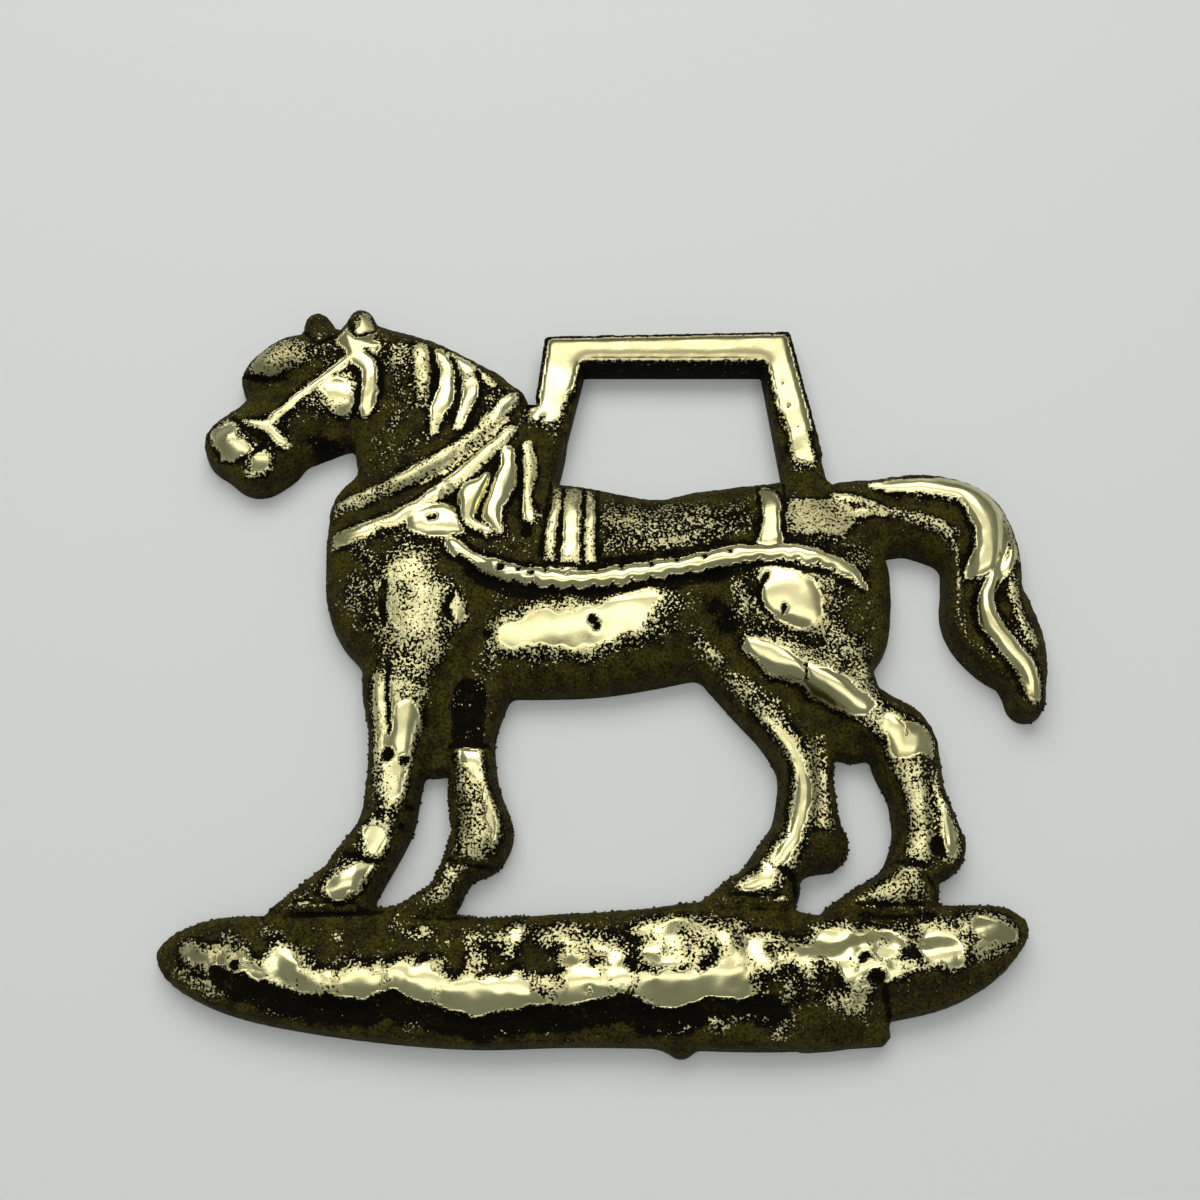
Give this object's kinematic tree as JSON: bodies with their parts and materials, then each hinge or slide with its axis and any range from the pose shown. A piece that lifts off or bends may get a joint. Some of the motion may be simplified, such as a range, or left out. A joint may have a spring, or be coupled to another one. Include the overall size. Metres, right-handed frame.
{
  "type": "horse brass",
  "caption": "Cast horse brass: a standing harnessed horse on a lens-shaped plinth, with a square hanger on its back for a leather strap.",
  "frame": {"origin": "centre of the flat back: the middle of the bounding box in X and Y, with Z = 0 on the back face", "axes": "+X towards the horse's tail, +Y towards the strap hanger, +Z out of the carved face"},
  "size_m": [0.0932, 0.0836, 0.0071],
  "materials": {
    "brass": "aged cast brass, polished on the high parts, with dark olive patina in the hollows and a coarse sand-cast grain"
  },
  "bodies": {
    "root": {"horse_brass": "brass"}
  },
  "joints": []
}
